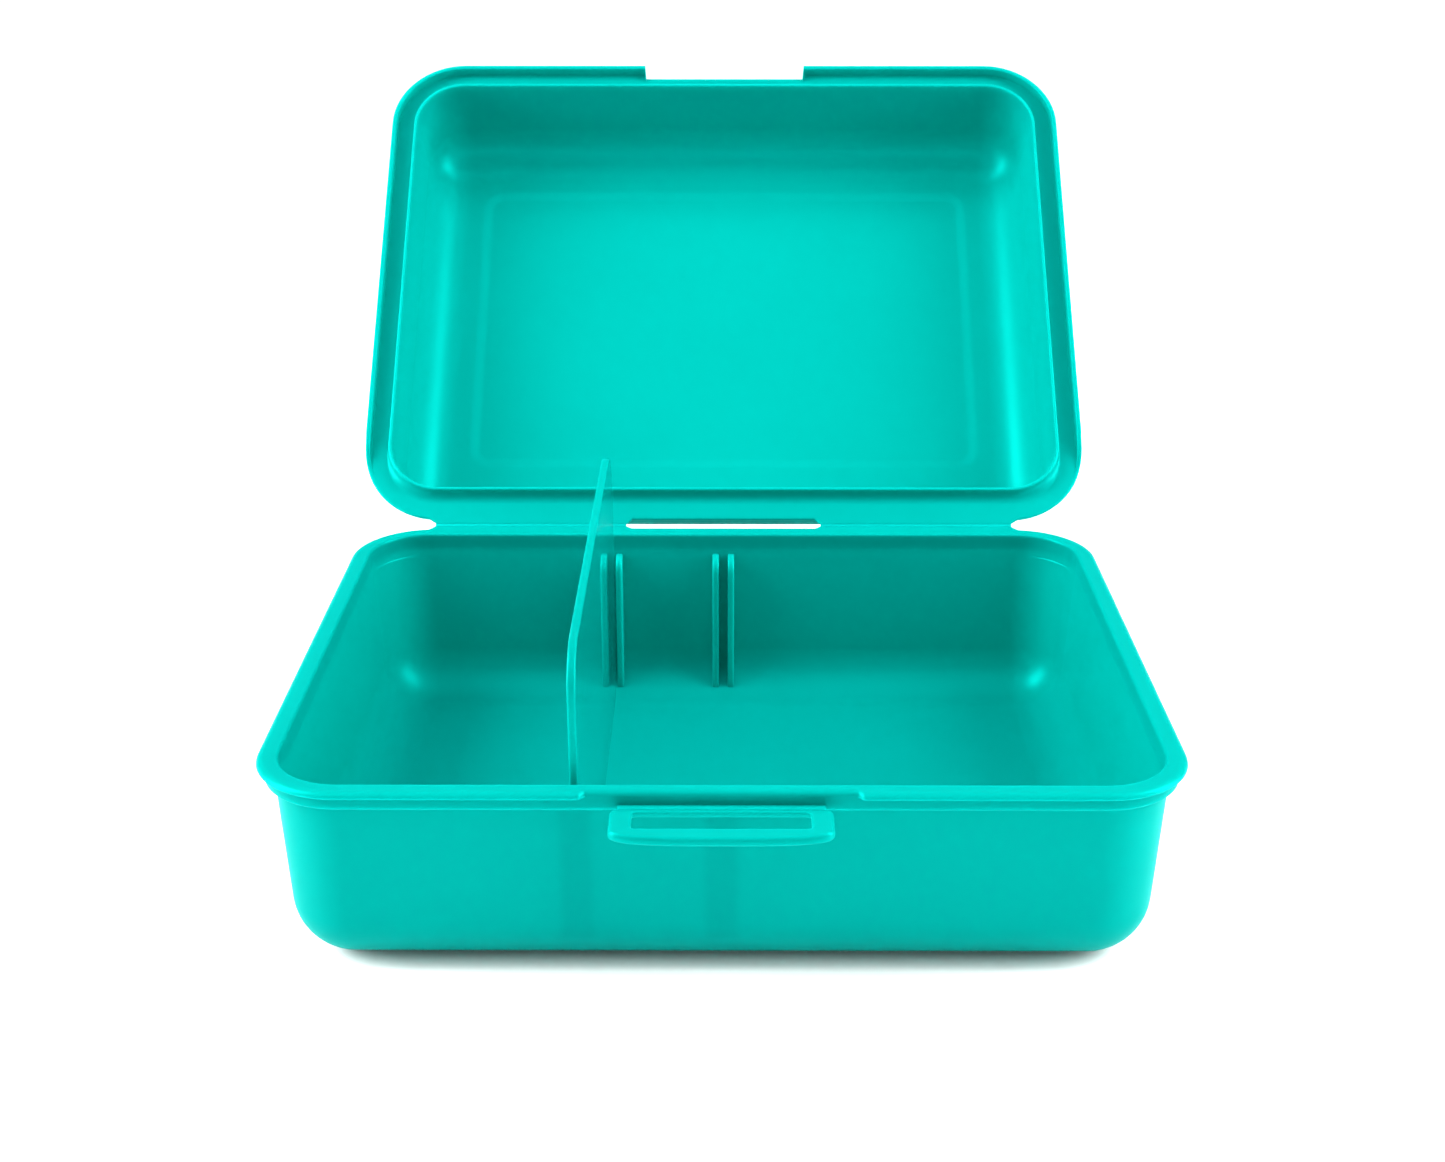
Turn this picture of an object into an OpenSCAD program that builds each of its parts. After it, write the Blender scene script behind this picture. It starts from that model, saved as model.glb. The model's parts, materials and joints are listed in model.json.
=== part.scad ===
// Hinged lunch box with a snap clip and a lift-out divider.
// X runs along the hinge, Y from the clip to the hinge, Z up. The origin is on the
// table, under the middle of the box. The lid is built shut and then swung open.

/* [Box] */
// Width of the box over its rim
box_w = 177; // [160:1:200]
// Depth of the box over its rim, from clip side to hinge side
box_d = 135.3; // [122:0.1:150]
// Height of the box from the table to the top of its rim
box_h = 42; // [38:0.5:50]
// Plan radius of the rim's outer corners
rim_r = 17.5; // [17.5:0.1:20]
// Thickness of the flat rim
rim_t = 1.2; // [1:0.1:1.6]
// Width of the flat rim, from its outer edge to the opening
rim_w = 4.15; // [4:0.05:4.4]
// How far the step under the rim is set back
step_in = 1.35; // [1:0.05:1.5]
// Height of the rim and the step together
step_h = 4; // [3.6:0.1:4.2]
// How far the outer wall is set back from the rim's edge
wall_in = 3.2; // [3:0.05:3.3]
// Slope of the outer wall, degrees from upright
wall_draft = 2.8; // [2.2:0.1:3]
// Slope of the inner wall, degrees from upright
inner_draft = 3; // [2.4:0.1:3.2]
// Round between the floor and the outer wall
floor_r = 12.3; // [11:0.1:12.5]
// Thickness of the floor
floor_t = 1.6; // [1.2:0.1:2]
// Depth of the smooth sealing band inside the rim
band_h = 5.5; // [4.5:0.5:7]
// How far the wall steps in below the sealing band
band_step = 0.2; // [0.1:0.05:0.3]

/* [Lid] */
// How far the lid's skirt stands out beyond the box's rim
skirt_out = 1.5; // [1.4:0.1:1.8]
// Thickness of the skirt
skirt_t = 1.2; // [1:0.1:1.3]
// How far the skirt hangs below the lid's flange
skirt_h = 2.8; // [2.2:0.1:3]
// Plan radius of the lid's outer corners
lid_r = 19; // [18.5:0.1:20]
// Thickness of the lid's flange
lid_flange_t = 1.2; // [1:0.1:1.4]
// Depth of the lid inside, from its flange to its top
lid_depth = 26.7; // [25.5:0.1:32]
// Thickness of the lid's wall and top
lid_t = 1; // [0.9:0.1:1.1]
// Slope of the lid's wall, degrees from upright
lid_draft = 2; // [1.5:0.1:2.4]
// Round between the lid's wall and its top, on the inside
lid_fillet = 11.8; // [10:0.1:11.8]
// Thickness of the sealing bead
bead_t = 0.8; // [0.6:0.1:0.9]
// How far the sealing bead reaches down into the box
bead_h = 2.4; // [1.6:0.1:2.6]
// How far the bead stays back from the rim's opening on the hinge side
bead_back = 2.75; // [2.4:0.05:3.2]
// How far the middle of the lid's top is raised
panel_rise = 0.5; // [0.3:0.1:0.7]
// Width of the raised panel in the lid's top
panel_w = 134.8; // [120:0.1:135]
// Depth of the raised panel in the lid's top
panel_d = 86.3; // [80:0.1:88]
// Angle between the lid and its shut place
lid_open = 136.3; // [0:0.1:180]

/* [Hinge] */
// Distance from each rim's edge to the fold line
leaf_l = 1.7; // [1.6:0.1:2]
// Distance from the middle of the box to the near end of each hinge
leaf_x0 = 24; // [20:0.1:30]
// Distance from the middle of the box to the far end of each hinge
leaf_x1 = 72.3; // [60:0.1:72.3]
// How far each leaf widens from the fold line to the rim
leaf_flare = 1.4; // [1:0.1:1.6]
// Radius of the film that folds
film_r = 0.3; // [0.25:0.01:0.32]
// Gap between the shut lid's flange and the rim
shut_gap = 0.2; // [0.2:0.05:0.3]

/* [Clip] */
// Width of the clip
clip_w = 40.9; // [36:0.1:41]
// Width of the clip's fold line
clip_film_w = 38.7; // [34:0.1:38.7]
// Length of the clip beyond its fold line
clip_l = 11.15; // [10.5:0.05:11.6]
// Thickness of the clip
clip_t = 1.2; // [1:0.1:1.2]
// Width of the clip's window
window_w = 32.7; // [28:0.1:33]
// Distance from the fold line to the window's near edge
window_y0 = 1.6; // [1.4:0.1:1.8]
// Distance from the fold line to the window's far edge
window_y1 = 7.4; // [7.2:0.1:7.6]
// Width of the recess in the rim behind the clip
recess_w = 52.4; // [46:0.1:54]
// Width of the notch in the lid's skirt
notch_w = 43.2; // [42.5:0.1:46]
// Width of the lug that the clip's window snaps over
lug_w = 31; // [26:0.1:31]

/* [Divider] */
// Distance from the middle of the box to the divider
divider_x = -27.4; // [-29:0.1:-26]
// Thickness of the divider
divider_t = 1.7; // [1.5:0.05:1.8]
// Height of the divider's top edge above the table
divider_top = 66.8; // [60:0.1:67]
// Gap between the two ribs of a slot
slot_gap = 2.2; // [2.1:0.1:2.5]
// Thickness of each rib
rib_t = 1.55; // [1.2:0.05:1.7]
// How far each rib stands out from the wall
rib_d = 4.4; // [4:0.1:4.8]
// Height of the ribs' tops above the table, at most up to the sealing band
rib_top = 36.5; // [34:0.1:36.5]

/* [Hidden] */
$fn = 96;
teal = [0, 0.76, 0.72];
pale = [0.25, 0.84, 0.8];
arc_steps = 8;
cut = 1;                                   // how far a cutter runs past what it cuts
half_w = box_w / 2;
half_d = box_d / 2;

// Box
tub_top = box_h - step_h;                  // where the wall meets the rim's step
opening_in = rim_w;                        // the opening's inset from the rim's edge
band_z = box_h - band_h;
floor_r_less = 1.1;
floor_inner_r = floor_r - floor_r_less;    // round between the floor and the inner wall
inner_rho = rim_r - opening_in - band_step; // corner radius of the wall below the band
edge_r = 0.45;                             // soft edge of the rim
inner_edge_r = 0.35;                       // soft edge of the opening

// Hinge axis, along X
hinge_y = half_d + leaf_l;
hinge_z = box_h + shut_gap / 2;
leaf_gap = 0.4;                            // the leaves stop just short of the film
leaf_end = leaf_l - leaf_gap;

// Shut lid
lid_z = box_h + shut_gap;                  // underside of the flange
lid_half_w = half_w + skirt_out;
lid_front = -half_d - skirt_out;
lid_back = half_d;
lid_half_d = (lid_back - lid_front) / 2;
lid_mid_y = (lid_back + lid_front) / 2;
bead_gap = 0.2;                            // clearance between the bead and the opening
bead_half_w = half_w - opening_in - bead_gap;
bead_front = -half_d + opening_in + bead_gap;
bead_rear = half_d - opening_in - bead_back;
bead_half_d = (bead_rear - bead_front) / 2;
bead_mid_y = (bead_rear + bead_front) / 2;
bead_r = rim_r - opening_in - bead_gap;
bead_ramp = bead_back - bead_gap;          // the bead's hollow ramp on the hinge side
shell_z = lid_z + lid_flange_t;            // the shell stands on the flange
shell_in_r = bead_r - bead_t;              // corner radius of the shell's inner wall
shell_h = lid_depth - lid_flange_t + lid_t;
panel_r = 5;
panel_mid_y = -4.1;
fade_l0 = 26;                              // the skirt starts to fade out this far from the hinge
fade_l1 = 14;                              // and is gone this far from it
fade_start = hinge_y - fade_l0;
fade_end = hinge_y - fade_l1;

// Clip, built level, as it stands at rest
clip_film_r = 0.25;
step_face_y = -half_d + step_in;
clip_leaf_l = 1.05;                        // from the step's face to the fold line
clip_y = step_face_y - clip_leaf_l;
clip_low = 3;                              // depth of the fold line below the rim's top
clip_z = box_h - clip_low;
clip_up = 0.2;                             // upper face above the fold line
clip_leaf_low = 0.4;                       // underside of the clip's leaf below the fold line
clip_top = clip_z + clip_up;
clip_gap = 0.35;                           // the plate stops just short of the film
clip_side_l = 6.9;                         // straight part of the clip's ends
clip_bow = 3.4;                            // exponent of the bowed front edge
recess_chamfer = 1.2;
clip_corner = 1.2;                         // slope of the clip's ends beside the fold line
notch_in = 2.3;                            // depth of the notch
notch_y = lid_front + notch_in;            // the flange's edge in the notch
lug_top = clip_z + window_y1 - clip_gap;
lug_out = 1.3;                             // how far the lug stands out of the notch
lug_in = 1.5;                              // how far it reaches into the skirt
lug_front = notch_y - lug_out;
lug_back = notch_y + lug_in;
lug_lead = 0.7;                            // height of the lug's sloping lead-in's end
lug_soft = 0.4;                            // chamfer of the lug's top edge

// Divider
rib_blunt = 0.6;                           // flat left at the tip of each rib's round top
divider_play = 0.25;                       // gap between the divider and the floor
divider_bottom = floor_t + divider_play;
divider_front = -61.6;
divider_back = 61.2;
divider_neck = 58.6;                       // back edge above the slot
divider_foot = 61.4;                       // half depth just above the bottom rounds
foot_r = floor_inner_r;
neck_z0 = 33;
neck_z1 = 39;
top_front_r = 10;
top_back_r = 13;

// Points along an arc
function arc(cx, cy, r, a0, a1, n = arc_steps) =
    [for (i = [0 : n]) let (a = a0 + (a1 - a0) * i / n) [cx + r * cos(a), cy + r * sin(a)]];

function reversed(points) = [for (i = [len(points) - 1 : -1 : 0]) points[i]];

// Centre, across the wall, of the round between a level floor and a sloping wall that
// stands at rho_top at height rise above that floor
function round_centre(rho_top, rise, draft, r) =
    rho_top - (rise - r) * tan(draft) - r / cos(draft);

// Half a section of a drafted wall: floor from the corner's centre, round, wall, top
function wall_line(rho_top, top, low, draft, r) =
    concat(
        [[0, low]],
        arc(round_centre(rho_top, top - low, draft, r), low + r, r, -90, -draft),
        [[rho_top, top]]
    );

// Sweeps a section round a rounded rectangle. The section's x is measured outwards
// from the corner's centre.
module around(hw, hd, r) {
    for (q = [0 : 3]) {
        a = q % 2 == 0 ? hw : hd;
        b = q % 2 == 0 ? hd : hw;
        rotate([0, 0, 90 * q])
            translate([a - r, b - r, 0])
                rotate_extrude(angle = 90)
                    children();
        rotate([0, 0, 90 * q])
            translate([a - r, b - r, 0])
                rotate([90, 0, 0])
                    linear_extrude(height = 2 * (b - r))
                        children();
    }
}

// Flat plate with a rounded rectangle for its plan, standing on z = 0
module slab(hw, hd, r, h) {
    around(hw, hd, r)
        square([r, h]);
    translate([-(hw - r), -(hd - r), 0])
        cube([2 * (hw - r), 2 * (hd - r), h]);
}

// Shape drawn in the Y-Z plane and given a width along X, centred on x
module across(x, w) {
    translate([x - w / 2, 0, 0])
        rotate([90, 0, 90])
            linear_extrude(height = w)
                children();
}

// Mirrors the right-hand piece to the left
module side(s) {
    mirror([s < 0 ? 1 : 0, 0, 0])
        children();
}

// Swings the shut lid open about the hinge
module open_lid() {
    translate([0, hinge_y, hinge_z])
        rotate([-lid_open, 0, 0])
            translate([0, -hinge_y, -hinge_z])
                children();
}

// ---- box ----

inner_line = concat(
    wall_line(inner_rho, band_z, floor_t, inner_draft, floor_inner_r),
    [[inner_rho + band_step, band_z], [inner_rho + band_step, tub_top]]
);

module base_tub() {
    outer_line = wall_line(rim_r - wall_in, tub_top, 0, wall_draft, floor_r);
    color(teal) {
        around(half_w, half_d, rim_r)
            polygon(concat(outer_line, reversed(inner_line)));
        translate([-(half_w - rim_r), -(half_d - rim_r), 0])
            cube([2 * (half_w - rim_r), 2 * (half_d - rim_r), floor_t]);
    }
}

module rim_section() {
    plate_low = box_h - rim_t;
    polygon(concat(
        [[rim_r - opening_in, tub_top], [rim_r - step_in, tub_top], [rim_r - step_in, plate_low]],
        arc(rim_r - edge_r, plate_low + edge_r, edge_r, -90, 0, 3),
        arc(rim_r - edge_r, box_h - edge_r, edge_r, 0, 90, 3),
        arc(rim_r - opening_in + inner_edge_r, box_h - inner_edge_r, inner_edge_r, 90, 180, 3)
    ));
}

module base_rim() {
    color(teal)
        difference() {
            around(half_w, half_d, rim_r)
                rim_section();
            translate([0, step_face_y, tub_top])
                linear_extrude(height = step_h + cut)
                    polygon([
                        [-recess_w / 2 + recess_chamfer, 0], [-recess_w / 2, -step_in - cut],
                        [recess_w / 2, -step_in - cut], [recess_w / 2 - recess_chamfer, 0]
                    ]);
        }
}

// One rib against the back wall, with its foot on the floor's round
module rib(x) {
    wall_y = half_d - rim_r;
    first = 3;
    foot = [for (i = [first + 1 : arc_steps + 1]) [wall_y + inner_line[i][0], inner_line[i][1]]];
    top_y = wall_y + inner_rho - (rib_top < band_z ? (band_z - rib_top) * tan(inner_draft) : 0);
    tip_r = rib_d - rib_blunt;
    wall_z = min(rib_top, band_z);
    across(x, rib_t)
        polygon(concat(
            foot,
            [[top_y, wall_z]],
            arc(top_y - rib_d + tip_r, wall_z - tip_r, tip_r, 90, 180, 6)
        ));
}

// A slot is two ribs with a gap between them
module slot(x) {
    for (s = [-1, 1])
        rib(x + s * (slot_gap + rib_t) / 2);
}

module slot_left_back() {
    color(teal)
        slot(divider_x);
}

module slot_left_front() {
    color(teal)
        mirror([0, 1, 0])
            slot(divider_x);
}

module slot_middle_back() {
    color(teal)
        slot(0);
}

module slot_middle_front() {
    color(teal)
        mirror([0, 1, 0])
            slot(0);
}

// ---- hinge ----

// Leaf from a rim's straight edge towards the fold line, narrower at the fold
module leaf(z) {
    translate([0, half_d, z])
        linear_extrude(height = rim_t)
            polygon([
                [leaf_x0 - leaf_flare, 0], [leaf_x0, leaf_end],
                [leaf_x1, leaf_end], [leaf_x1 + leaf_flare, 0]
            ]);
}

module film() {
    across((leaf_x0 + leaf_x1) / 2, leaf_x1 - leaf_x0)
        translate([hinge_y, hinge_z])
            circle(film_r);
    across((leaf_x0 + leaf_x1) / 2, leaf_x1 - leaf_x0)
        translate([half_d + leaf_end, box_h - film_r])
            square([leaf_l - leaf_end, film_r]);
}

module hinge_leaf_base_left() {
    color(teal)
        side(-1)
            leaf(box_h - rim_t);
}

module hinge_leaf_base_right() {
    color(teal)
        side(1)
            leaf(box_h - rim_t);
}

module hinge_film_left() {
    color(pale)
        side(-1)
            film();
}

module hinge_film_right() {
    color(pale)
        side(1)
            film();
}

module hinge_leaf_lid_left() {
    color(teal)
        open_lid()
            side(-1)
                leaf(lid_z);
}

module hinge_leaf_lid_right() {
    color(teal)
        open_lid()
            side(1)
                leaf(lid_z);
}

// ---- lid ----

module lid_shell() {
    outer_line = wall_line(shell_in_r + lid_t, shell_h, 0, lid_draft, lid_fillet + lid_t);
    inside_line = wall_line(shell_in_r, shell_h, lid_t, lid_draft, lid_fillet);
    hw = bead_half_w;
    hd = bead_half_d;
    color(teal)
        open_lid()
            translate([0, bead_mid_y, shell_z + shell_h])
                mirror([0, 0, 1])
                    difference() {
                        union() {
                            around(hw, hd, bead_r)
                                polygon(concat(outer_line, reversed(inside_line)));
                            translate([-(hw - bead_r), -(hd - bead_r), 0])
                                cube([2 * (hw - bead_r), 2 * (hd - bead_r), lid_t]);
                        }
                        translate([0, panel_mid_y - bead_mid_y, -cut])
                            slab(panel_w / 2, panel_d / 2, panel_r, lid_t + 2 * cut);
                    }
}

module lid_panel() {
    color(teal)
        open_lid()
            translate([0, panel_mid_y, shell_z + shell_h - lid_t + panel_rise])
                slab(panel_w / 2, panel_d / 2, panel_r, lid_t);
}

module skirt() {
    difference() {
        translate([0, lid_mid_y, lid_z])
            around(lid_half_w, lid_half_d, lid_r)
                translate([lid_r - skirt_t, -skirt_h])
                    square([skirt_t, skirt_h]);
        across(0, 2 * lid_half_w + 2 * cut)
            polygon([
                [fade_start, lid_z - skirt_h], [fade_end, lid_z],
                [lid_back + cut, lid_z], [lid_back + cut, lid_z - skirt_h - cut],
                [fade_start, lid_z - skirt_h - cut]
            ]);
    }
}

module lid_flange() {
    color(teal)
        open_lid()
            difference() {
                union() {
                    translate([0, lid_mid_y, lid_z])
                        slab(lid_half_w, lid_half_d, lid_r, lid_flange_t);
                    skirt();
                }
                translate([0, bead_mid_y, lid_z - cut])
                    slab(bead_half_w - bead_t, bead_half_d - bead_t, shell_in_r, lid_flange_t + 2 * cut);
                translate([-notch_w / 2, lid_front - cut, lid_z - skirt_h - cut])
                    cube([notch_w, notch_y - lid_front + cut, skirt_h + lid_flange_t + 2 * cut]);
            }
}

module lid_seal_bead() {
    soft = 0.25;                           // soft crest of the bead
    ramp_h = bead_h - soft;
    color(teal)
        open_lid() {
            translate([0, bead_mid_y, lid_z])
                around(bead_half_w, bead_half_d, bead_r)
                    translate([bead_r, 0])
                        polygon([
                            [-bead_t, 0], [-bead_t, -bead_h + soft], [-bead_t + soft, -bead_h],
                            [-soft, -bead_h], [0, -bead_h + soft], [0, 0]
                        ]);
            across(0, 2 * (bead_half_w - bead_r))
                translate([bead_rear + bead_ramp, lid_z - ramp_h])
                    polygon(concat(
                        [[-bead_ramp, ramp_h]],
                        [for (p = arc(0, 0, 1, 180, 90)) [bead_ramp * p[0], ramp_h * p[1]]]
                    ));
        }
}

module lid_clip_lug() {
    color(teal)
        open_lid()
            across(0, lug_w)
                polygon([
                    [notch_y, shell_z], [lug_front, lug_top - lug_lead],
                    [lug_front, lug_top - lug_soft], [lug_front + lug_soft, lug_top],
                    [lug_back, lug_top], [lug_back, shell_z]
                ]);
}

// ---- clip ----

module clip_hinge_leaf() {
    color(teal)
        across(0, clip_film_w)
            translate([clip_y + clip_gap, clip_z - clip_leaf_low])
                square([clip_leaf_l - clip_gap, clip_up + clip_leaf_low]);
}

module clip_film() {
    color(pale)
        across(0, clip_film_w)
            union() {
                translate([clip_y, clip_z])
                    circle(clip_film_r);
                translate([clip_y - clip_gap, clip_z - clip_film_r / 2])
                    square([clip_gap, clip_film_r]);
            }
}

// Half the plan of the clip's bowed front, from its end to its middle
function bowed_front(n) =
    let (half = clip_w / 2, bow = clip_l - clip_side_l)
    [for (i = [0 : n]) let (a = 90 * i / n)
        [half * pow(cos(a), 2 / clip_bow), -clip_side_l - bow * pow(sin(a), 2 / clip_bow)]];

module clip_plate() {
    right = concat(
        [[clip_film_w / 2, -clip_gap], [clip_w / 2, -clip_gap - clip_corner]],
        bowed_front(12)
    );
    left = [for (p = reversed(right)) if (p[0] > 0.01) [-p[0], p[1]]];
    color(teal)
        translate([0, clip_y, clip_top - clip_t])
            difference() {
                linear_extrude(height = clip_t)
                    polygon(concat(right, left));
                translate([-window_w / 2, -window_y1, -cut])
                    cube([window_w, window_y1 - window_y0, clip_t + 2 * cut]);
            }
}

// ---- divider ----

module divider_panel() {
    low = divider_bottom;
    color(pale)
        across(divider_x, divider_t)
            polygon(concat(
                arc(-divider_foot + foot_r, low + foot_r, foot_r, 180, 270),
                arc(divider_foot - foot_r, low + foot_r, foot_r, 270, 360),
                [[divider_back, neck_z0], [divider_neck, neck_z1]],
                arc(divider_neck - top_back_r, divider_top - top_back_r, top_back_r, 0, 90),
                arc(divider_front + top_front_r, divider_top - top_front_r, top_front_r, 90, 180),
                [[divider_front, neck_z1]]
            ));
}

base_tub();
base_rim();
slot_left_back();
slot_left_front();
slot_middle_back();
slot_middle_front();
hinge_leaf_base_left();
hinge_leaf_base_right();
hinge_film_left();
hinge_film_right();
clip_hinge_leaf();
lid_shell();
lid_panel();
lid_flange();
lid_seal_bead();
lid_clip_lug();
hinge_leaf_lid_left();
hinge_leaf_lid_right();
clip_film();
clip_plate();
divider_panel();
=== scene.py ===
"""Lunch box with a film-hinged lid, a snap clip and a lift-out divider: visual model.

Lengths are in millimetres until a mesh is made; the frame is in metres. The lid is built
shut, like its CAD nodes, and swung to the place where the frame holds it.
"""

import json
from math import cos, degrees, pi, radians, sin, tan

import bmesh
import bpy
from mathutils import Matrix, Vector


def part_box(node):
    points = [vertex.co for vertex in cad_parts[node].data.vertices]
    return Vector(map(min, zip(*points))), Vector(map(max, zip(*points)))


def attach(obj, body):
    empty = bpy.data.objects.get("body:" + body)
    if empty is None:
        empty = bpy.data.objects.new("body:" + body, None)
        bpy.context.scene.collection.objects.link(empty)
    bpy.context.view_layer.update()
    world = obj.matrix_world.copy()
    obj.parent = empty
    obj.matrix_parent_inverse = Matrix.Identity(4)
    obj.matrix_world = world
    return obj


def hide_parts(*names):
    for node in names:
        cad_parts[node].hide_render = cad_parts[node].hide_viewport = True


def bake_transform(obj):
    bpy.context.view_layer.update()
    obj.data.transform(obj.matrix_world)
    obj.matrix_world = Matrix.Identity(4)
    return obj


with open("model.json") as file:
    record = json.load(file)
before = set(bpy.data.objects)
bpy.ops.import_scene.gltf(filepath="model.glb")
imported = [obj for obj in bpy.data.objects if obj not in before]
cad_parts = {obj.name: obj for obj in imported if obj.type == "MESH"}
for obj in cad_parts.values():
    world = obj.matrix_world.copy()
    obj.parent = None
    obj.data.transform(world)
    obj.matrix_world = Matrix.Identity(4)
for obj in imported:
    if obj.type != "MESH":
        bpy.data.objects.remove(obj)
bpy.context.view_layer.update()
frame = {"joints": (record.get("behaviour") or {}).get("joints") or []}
MM = 0.001


# ---- sizes, from the frame where it has them ----

def node_box(name):
    """A node's lowest and highest corner in millimetres."""
    low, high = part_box(name)
    return [v / MM for v in low], [v / MM for v in high]


def joint(name):
    """A joint of the frame by name."""
    return next(j for j in frame["joints"] if j["name"] == name)


RIM_LOW, RIM_HIGH = node_box("base_rim")
TUB_HIGH = node_box("base_tub")[1]
DIV_LOW, DIV_HIGH = node_box("divider_panel")
CLIP_LOW, CLIP_HIGH = node_box("clip_plate")
LEAF_LOW, LEAF_HIGH = node_box("hinge_leaf_base_right")
FILM_X0 = node_box("hinge_film_right")[0][0]
LID_HALF_W = node_box("lid_flange")[1][0]

HALF_W, HALF_D, TOP = RIM_HIGH
RIM_R = 17.5                    # plan radius of the rim's outer corners
RIM_T = 1.2                     # thickness of the flat rim
STEP_Z = RIM_LOW[2]             # underside of the step below the rim
STEP_IN = 1.35                  # the step's set-back from the rim's edge
STEP_ROUND = 0.25               # radius of the step's lower edge
WALL_IN = HALF_W - TUB_HIGH[0]  # the outer wall's set-back
WALL_DRAFT = radians(2.8)
INNER_DRAFT = radians(3)
OPEN_IN = 4.15                  # the opening's set-back
BAND_Z = TOP - 5.5              # foot of the smooth sealing band
BAND_STEP = 0.2                 # how far the wall below the band stands in from it
BAND_H = 3.2                    # height over which it does so
BAND_H_LESS = 2.9               # how much lower that is in a rear corner
BAND_GAIN = 1.4                 # how soon it gets there on the way into the corner
FLOOR_T = 1.6
FLOOR_R = 12.3                  # round between floor and outer wall
FLOOR_IN_R = 11.2               # round between floor and inner wall

HINGE = joint("lid_hinge")
HINGE_Y, HINGE_Z = HINGE["pos_m"][1] / MM, HINGE["pos_m"][2] / MM
LID_OPEN = radians(-HINGE["range_deg"][0])
LEAF_END = LEAF_HIGH[1]         # where each leaf stops short of the fold line
LEAF_OUT = LEAF_END - HALF_D    # its length beyond the rim
LEAF_TIP = 0.35                 # its thickness at the end
LEAF_FLARE = FILM_X0 - LEAF_LOW[0]
LEAF_X0 = FILM_X0 - LEAF_FLARE  # where its slanted end starts
LEAF_MARKS = (LEAF_X0 - 0.3, LEAF_X0, FILM_X0, FILM_X0 + 0.4)  # stations it needs

LID_Z = 2 * HINGE_Z - TOP       # underside of the shut lid's flange
SKIRT_OUT = LID_HALF_W - HALF_W
SKIRT_T = 1.2
SKIRT_H = 2.8
SKIRT_LEAST = 0.4               # a skirt shorter than this counts as none
LID_R = 19                      # plan radius of the flange's corners
LID_T = 1.2                     # thickness of the flange
SHELL_T = 1.0
LID_DEPTH = 26.7
LID_DRAFT = radians(2)
LID_FILLET = 11.1               # round between the shell's inner wall and its top
BEAD_T = 0.8
BEAD_H = 2.4
BEAD_GAP = 0.2                  # play between the bead and the opening
BEAD_BACK = 2.75                # the same at the rear
RAMP = 0.35                     # width of the bead's outer ramp
RAMP_REAR = BEAD_BACK - BEAD_GAP
RAMP_SOFT = 0.25                # step left beyond the ramp's foot, and below its tip
NOTCH_HALF = 21.6               # half width of the notch over the clip
NOTCH_SOFT = 0.15               # half width of the slope at each end of it
NOTCH_CUT = 2.3                 # how far the flange is cut back there
PANEL_RISE = 0.5
FADE_Y0 = HINGE_Y - 26          # the skirt fades out between these two
FADE_Y1 = HINGE_Y - 14
FLANGE_SOFT = 0.4               # rounds of the flange's upper edge and the shell's foot
SKIRT_SOFT = 0.35               # round of the skirt's lower outer edge
INNER_SOFT = 0.3                # rounds inside the skirt and on the bead

CLIP = joint("clip_hinge")
CLIP_Y, CLIP_Z = CLIP["pos_m"][1] / MM, CLIP["pos_m"][2] / MM

DIV_X = (DIV_LOW[0] + DIV_HIGH[0]) / 2
SLOT_GAP = 2.2                  # between the two ribs of a slot
RIB_T = 1.55
RIB_D = 4.4                     # how far a rib stands out from its wall
RIB_TOP = 36.9
RIB_SOFT, RIB_SUPPORT = 0.42, 0.35      # round of a rib's edges, and the strip inside it
RIB_SINK = 0.5                  # how deep a rib is sunk into its wall


# ---- mesh helpers ----

MERGE = 1e-5                    # points closer than this, in metres, are one
SHARP = radians(38)             # a fold above this angle is drawn as a sharp edge
NORMAL_WEIGHT = 80              # how strongly large faces set the smooth normals


def arc(cx, cz, r, a0, a1, n):
    """Points on an arc, angles in degrees."""
    steps = [radians(a0 + (a1 - a0) * i / n) for i in range(n + 1)]
    return [(cx + r * cos(a), cz + r * sin(a)) for a in steps]


def round_centre(rho_top, rise, draft, r):
    """Centre, across the wall, of the round between a floor and a drafted wall."""
    return rho_top - (rise - r) * tan(draft) - r / cos(draft)


def mesh_object(name, verts, faces, material):
    """A closed smooth mesh from points in millimetres, with doubles merged."""
    bm = bmesh.new()
    made = [bm.verts.new([c * MM for c in v]) for v in verts]
    for f in faces:
        try:
            bm.faces.new([made[i] for i in f])
        except ValueError:      # the face is there already
            pass
    bmesh.ops.remove_doubles(bm, verts=bm.verts, dist=MERGE)
    bmesh.ops.dissolve_degenerate(bm, dist=MERGE / 2, edges=bm.edges)
    bmesh.ops.recalc_face_normals(bm, faces=bm.faces)
    mesh = bpy.data.meshes.new(name)
    bm.to_mesh(mesh)
    bm.free()
    for p in mesh.polygons:
        p.use_smooth = True
    mesh.set_sharp_from_angle(angle=SHARP)
    obj = bpy.data.objects.new(name, mesh)
    bpy.context.scene.collection.objects.link(obj)
    mesh.materials.append(material)
    even = obj.modifiers.new("even_normals", "WEIGHTED_NORMAL")
    even.keep_sharp = True
    even.weight = NORMAL_WEIGHT
    return obj


def side_faces(n, count, start=0, loop=False):
    """Quads between count rings of n points each, numbered from start."""
    faces = []
    for k in range(count if loop else count - 1):
        a, b = start + k * n, start + (k + 1) % count * n
        faces += [(a + i, a + (i + 1) % n, b + (i + 1) % n, b + i) for i in range(n)]
    return faces


def loft(name, rings, material, loop=False):
    """Rings of equal length joined into a closed skin. Its ends are capped, or the last
    ring is joined to the first."""
    n, count = len(rings[0]), len(rings)
    verts = [p for ring in rings for p in ring]
    faces = side_faces(n, count, loop=loop)
    if not loop:
        faces.append(tuple(range(n)))
        faces.append(tuple(reversed(range((count - 1) * n, count * n))))
    return mesh_object(name, verts, faces, material)


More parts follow.
